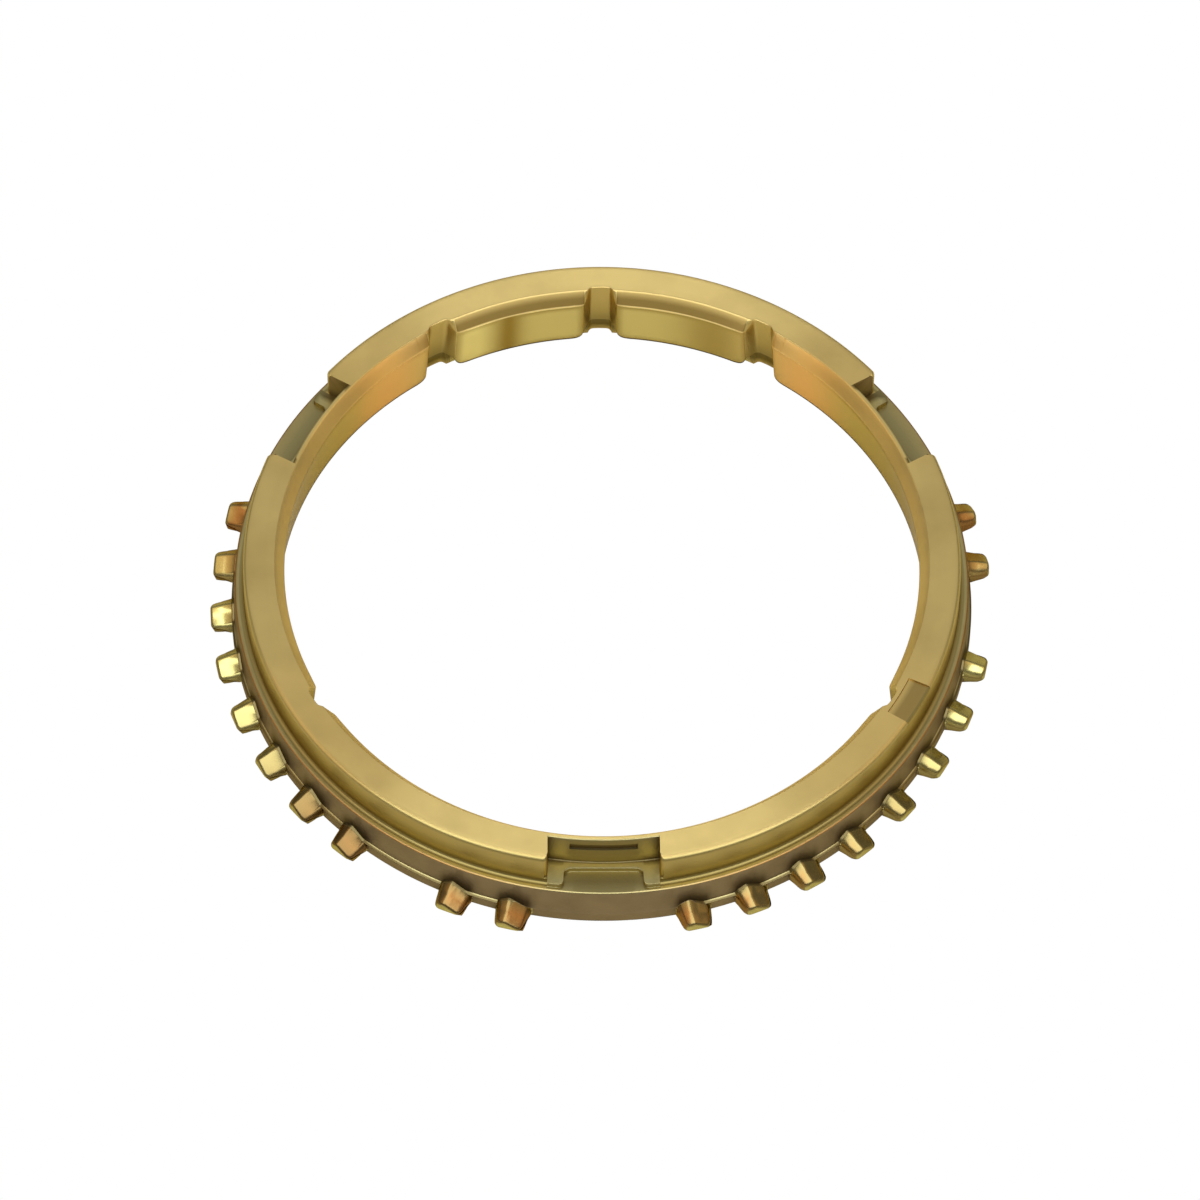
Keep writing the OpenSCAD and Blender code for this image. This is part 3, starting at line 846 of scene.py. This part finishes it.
def forged_skin_group():
    """Broad blotches and fine grain: two noises on Object coordinates, at sizes given per metre."""
    group, given, result = new_group("forged_skin", [("Blotch Scale", 300.0), ("Grain Scale", 4000.0)],
                                     ["Blotch", "Grain"])
    place, link = group.nodes.new("ShaderNodeTexCoord"), group.links.new
    for label, detail in (("Blotch", BLOTCH_DETAIL), ("Grain", GRAIN_DETAIL)):
        noise = group.nodes.new("ShaderNodeTexNoise")
        noise.inputs["Detail"].default_value = detail
        link(place.outputs["Object"], noise.inputs["Vector"])
        link(given.outputs[label + " Scale"], noise.inputs["Scale"])
        link(noise.outputs["Fac"], result.inputs[label])
    return group


def lathe_lines_group():
    """Rings cut by the lathe tool: a noise of one dimension along the radius less the height."""
    group, given, result = new_group("lathe_lines", [("Lines", 6000.0)], ["Line", "Band"])
    place, link = group.nodes.new("ShaderNodeTexCoord"), group.links.new
    split = group.nodes.new("ShaderNodeSeparateXYZ")
    flat = group.nodes.new("ShaderNodeCombineXYZ")
    radius = group.nodes.new("ShaderNodeVectorMath")
    radius.operation = "LENGTH"
    across = group.nodes.new("ShaderNodeMath")
    across.operation = "SUBTRACT"
    link(place.outputs["Object"], split.inputs[0])
    for axis in "XY":
        link(split.outputs[axis], flat.inputs[axis])
    link(flat.outputs[0], radius.inputs[0])
    link(radius.outputs["Value"], across.inputs[0])
    link(split.outputs["Z"], across.inputs[1])
    for label, share in (("Line", 1.0), ("Band", BAND_SHARE)):
        size = group.nodes.new("ShaderNodeMath")
        size.operation = "MULTIPLY"
        size.inputs[1].default_value = share
        noise = group.nodes.new("ShaderNodeTexNoise")
        noise.noise_dimensions = "1D"
        noise.inputs["Detail"].default_value = LINE_DETAIL
        link(given.outputs["Lines"], size.inputs[0])
        link(across.outputs[0], noise.inputs["W"])
        link(size.outputs[0], noise.inputs["Scale"])
        link(noise.outputs["Fac"], result.inputs[label])
    return group


forged_skin, lathe_lines = forged_skin_group(), lathe_lines_group()
print("node groups:", forged_skin.name, lathe_lines.name)

# %% [markdown]
# ## Six brass finishes
# The alloy is the same everywhere, so the same functions build all six finishes. A finish
# has a colour, which stains, painted shade and painted warm reflections change by the
# attributes stored with the mesh, and a relief, which comes from the forged skin or from
# lathe lines.

# %% Write the colour and relief of a finish
BLOTCH_SHARE = 0.35


def group_node(tree, group, settings):
    """Node that uses a shared group in a material, with some of its inputs set."""
    node = tree.nodes.new("ShaderNodeGroup")
    node.node_tree = group
    for label, value in settings.items():
        node.inputs[label].default_value = value
    return node


def attribute(tree, name):
    """Socket with the value that the mesh keeps at each point under this name."""
    node = tree.nodes.new("ShaderNodeAttribute")
    node.attribute_name = name
    return node.outputs["Fac"]


def brass_colour(tree, skin, clean, stained_and_shaded, reflection_colour, blotch_range):
    """Colour socket: clean to the stained and shaded colour by the larger of blotch and the stain-and-shade
    attribute, then to the painted warm reflection's colour by its attribute.
    """
    nodes, links = tree.nodes, tree.links
    tone = nodes.new("ShaderNodeMapRange")
    tone.inputs["From Min"].default_value, tone.inputs["From Max"].default_value = blotch_range
    tone.inputs["To Max"].default_value = BLOTCH_SHARE
    links.new(skin.outputs["Blotch"], tone.inputs["Value"])
    darkening = nodes.new("ShaderNodeMath")
    darkening.operation = "MAXIMUM"
    links.new(tone.outputs["Result"], darkening.inputs[0])
    links.new(attribute(tree, "stain_and_shade"), darkening.inputs[1])
    colour = nodes.new("ShaderNodeMix")
    colour.data_type = "RGBA"
    colour.inputs["A"].default_value = (*clean, 1.0)
    colour.inputs["B"].default_value = (*stained_and_shaded, 1.0)
    links.new(darkening.outputs[0], colour.inputs["Factor"])
    if not reflection_colour:
        return colour.outputs["Result"]
    painted_reflection = nodes.new("ShaderNodeMix")
    painted_reflection.data_type = "RGBA"
    painted_reflection.inputs["B"].default_value = (*reflection_colour, 1.0)
    links.new(attribute(tree, "warm_reflection"), painted_reflection.inputs["Factor"])
    links.new(colour.outputs["Result"], painted_reflection.inputs["A"])
    return painted_reflection.outputs["Result"]


def brass_relief(tree, skin, shader, rough, grain_height, lines):
    """Roughness and bump: from lathe bands and lines, with a tangent round the ring, or from the skin."""
    nodes, links = tree.nodes, tree.links
    polish = nodes.new("ShaderNodeMapRange")
    polish.inputs["To Min"].default_value, polish.inputs["To Max"].default_value = rough
    bump = nodes.new("ShaderNodeBump")
    bump.inputs["Distance"].default_value = MM
    if lines:
        turned = group_node(tree, lathe_lines, {"Lines": lines[0]})
        bump.inputs["Strength"].default_value = lines[1]
        links.new(turned.outputs["Band"], polish.inputs["Value"])
        links.new(turned.outputs["Line"], bump.inputs["Height"])
        tangent = nodes.new("ShaderNodeTangent")
        tangent.direction_type = "UV_MAP"
        tangent.uv_map = "turning"
        links.new(tangent.outputs["Tangent"], shader.inputs["Tangent"])
    else:
        bump.inputs["Strength"].default_value = grain_height
        links.new(skin.outputs["Blotch"], polish.inputs["Value"])
        links.new(skin.outputs["Grain"], bump.inputs["Height"])
    links.new(polish.outputs["Result"], shader.inputs["Roughness"])
    links.new(bump.outputs["Normal"], shader.inputs["Normal"])


print("blotches stain the brass by up to", BLOTCH_SHARE)

# %% [markdown]
# ### The finishes themselves
# What differs is how bright and rough the surface is, how much the skin is blotched and
# whether lathe lines give the highlight a direction. Anisotropy stays a plain value on the
# shader.

# %% Build the brass materials
EDGE_TINT = (0.75, 0.62, 0.36, 1.0)


def brass(name, clean, stained_and_shaded, rough, blotch, grain, reflection_colour=None, lines=None, anisotropy=0.0):
    """Brass finish: a metal shader with colour and relief; blotch, grain and lines give size and strength."""
    material = bpy.data.materials.new(name)
    material.use_nodes = True
    tree = material.node_tree
    shader = tree.nodes["Principled BSDF"]
    shader.inputs["Metallic"].default_value = 1.0
    shader.inputs["Anisotropic"].default_value = anisotropy
    shader.inputs["Specular Tint"].default_value = EDGE_TINT
    skin = group_node(tree, forged_skin, {"Blotch Scale": blotch[0], "Grain Scale": grain[0]})
    colour = brass_colour(tree, skin, clean, stained_and_shaded, reflection_colour, blotch[1])
    tree.links.new(colour, shader.inputs["Base Color"])
    brass_relief(tree, skin, shader, rough, grain[1], lines)
    return material


finishes = {
    FORGED: brass("forged_brass", clean=(0.29, 0.22, 0.12), stained_and_shaded=(0.08, 0.06, 0.028), rough=(0.4, 0.52),
                  blotch=(260, (0.4, 0.85)), grain=(3500, 0.03)),
    TOOTH: brass("coined_tooth_brass", clean=(0.62, 0.55, 0.19), stained_and_shaded=(0.15, 0.092, 0.03),
                 rough=(0.2, 0.32), blotch=(700, (0.4, 0.8)), grain=(2000, 0.012),
                 reflection_colour=(0.32, 0.15, 0.042)),
    MILLED: brass("milled_brass", clean=(0.53, 0.45, 0.19), stained_and_shaded=(0.14, 0.105, 0.04), rough=(0.32, 0.44),
                  blotch=(400, (0.45, 0.9)), grain=(4000, 0.03), reflection_colour=(0.34, 0.17, 0.045)),
    HUB_WALL: brass("hub_wall_brass", clean=(0.66, 0.51, 0.18), stained_and_shaded=(0.2, 0.15, 0.045),
                    rough=(0.28, 0.38), blotch=(300, (0.5, 0.9)), grain=(3000, 0.02),
                    lines=(4000, 0.008), anisotropy=0.5),
    TURNED: brass("turned_brass", clean=(0.92, 0.685, 0.245), stained_and_shaded=(0.26, 0.17, 0.045), rough=(0.3, 0.38),
                  blotch=(150, (0.4, 0.9)), grain=(3000, 0.02), reflection_colour=(0.92, 0.58, 0.18),
                  lines=(6000, 0.006), anisotropy=0.95),
    BORED: brass("bored_brass", clean=(0.96, 0.85, 0.35), stained_and_shaded=(0.36, 0.25, 0.065), rough=(0.16, 0.24),
                 blotch=(120, (0.5, 0.9)), grain=(3000, 0.02), reflection_colour=(0.96, 0.59, 0.23),
                 lines=(4000, 0.006), anisotropy=0.6),
}
for index in sorted(finishes):
    mesh.materials.append(finishes[index])
print("finishes:", ", ".join(material.name for material in mesh.materials))

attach(ring, "root")
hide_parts("synchronizer_ring")

# %% [markdown]
# ## Floor
# The photo has a pure white ground. A floor lit that brightly would glare in the brass, so
# the floor is white only to the camera. To the brass it is a warm pale paper that throws
# some light up into the bore.

# %% Lay the floor
FLOOR_SIZE, PAPER = 6.0, (0.56, 0.52, 0.42)


def paper_material():
    """White to the camera, matt paper to all else: Light Path mixes an emission with a diffuse shader."""
    material = bpy.data.materials.new("floor_paper")
    material.use_nodes = True
    nodes, links = material.node_tree.nodes, material.node_tree.links
    nodes.remove(nodes["Principled BSDF"])
    paper = nodes.new("ShaderNodeBsdfDiffuse")
    paper.inputs["Color"].default_value = (*PAPER, 1.0)
    white = nodes.new("ShaderNodeEmission")
    ray = nodes.new("ShaderNodeLightPath")
    blend = nodes.new("ShaderNodeMixShader")
    links.new(ray.outputs["Is Camera Ray"], blend.inputs["Fac"])
    links.new(paper.outputs["BSDF"], blend.inputs[1])
    links.new(white.outputs["Emission"], blend.inputs[2])
    links.new(blend.outputs["Shader"], nodes["Material Output"].inputs["Surface"])
    return material


edge = FLOOR_SIZE / 2
floor_mesh = bpy.data.meshes.new("floor")
floor_corners = [(-edge, -edge, 0), (edge, -edge, 0), (edge, edge, 0), (-edge, edge, 0)]
floor_mesh.from_pydata(floor_corners, [], [(0, 1, 2, 3)])
floor_mesh.materials.append(paper_material())
floor = bpy.data.objects.new("floor", floor_mesh)
bpy.context.collection.objects.link(floor)
print("floor", FLOOR_SIZE, "m wide")

# %% [markdown]
# ## Light
# Polished metal shows its surroundings, so the light matters as much as the finish.
# One wide oblong softbox hangs in front, two dim warm panels stand at the sides, and the sky
# is darker near the horizon. Small lamps would give hard sparks instead.

# %% Hang the lamps and the sky
SKY_LOW, SKY_HIGH, SKY_TOP = 0.17, 0.56, 0.8
LAMP_DISTANCE = 1.4
KEY_AZIMUTH, KEY_ELEVATION, LEFT_AZIMUTH, RIGHT_AZIMUTH, PANEL_ELEVATION = -90, 58, 187, -7, 36
KEY_SIZE, KEY_POWER, KEY_COLOUR = (2.3, 1.2), 27.5, (0.93, 1.0, 1.15)
PANEL_SIZE, PANEL_POWER, PANEL_COLOUR = (0.9, 0.9), 1.8, (1.0, 0.66, 0.34)


def lamp(name, azimuth, elevation, size, power, colour):
    """Oblong area lamp that faces the ring from a set distance: tilted off the vertical, then swung round."""
    data = bpy.data.lights.new(name, "AREA")
    data.shape, data.energy, data.color = "RECTANGLE", power, colour
    data.size, data.size_y = size
    tilt, swing = math.radians(90 - elevation), math.radians(azimuth)
    place = np.array([math.sin(tilt) * math.cos(swing), math.sin(tilt) * math.sin(swing), math.cos(tilt)])
    holder = bpy.data.objects.new(name, data)
    holder.location = LAMP_DISTANCE * place
    holder.rotation_euler = (tilt, 0.0, swing + math.pi / 2)
    bpy.context.collection.objects.link(holder)


lamp("key_softbox", KEY_AZIMUTH, KEY_ELEVATION, KEY_SIZE, KEY_POWER, KEY_COLOUR)
lamp("warm_panel_left", LEFT_AZIMUTH, PANEL_ELEVATION, PANEL_SIZE, PANEL_POWER, PANEL_COLOUR)
lamp("warm_panel_right", RIGHT_AZIMUTH, PANEL_ELEVATION, PANEL_SIZE, PANEL_POWER, PANEL_COLOUR)


def sky_world():
    """Even sky that is dimmer near the horizon: the view direction's height mapped to a grey."""
    world = bpy.data.worlds.new("sky")
    world.use_nodes = True
    nodes, links = world.node_tree.nodes, world.node_tree.links
    place = nodes.new("ShaderNodeTexCoord")
    split = nodes.new("ShaderNodeSeparateXYZ")
    grey = nodes.new("ShaderNodeMapRange")
    grey.inputs["From Min"].default_value, grey.inputs["From Max"].default_value = 0.0, SKY_TOP
    grey.inputs["To Min"].default_value, grey.inputs["To Max"].default_value = SKY_LOW, SKY_HIGH
    links.new(place.outputs["Generated"], split.inputs[0])
    links.new(split.outputs["Z"], grey.inputs["Value"])
    links.new(grey.outputs["Result"], nodes["Background"].inputs["Color"])
    return world


bpy.context.scene.world = sky_world()
bpy.context.scene.view_settings.view_transform = "Standard"
print("lit by a softbox, two warm panels and the sky")
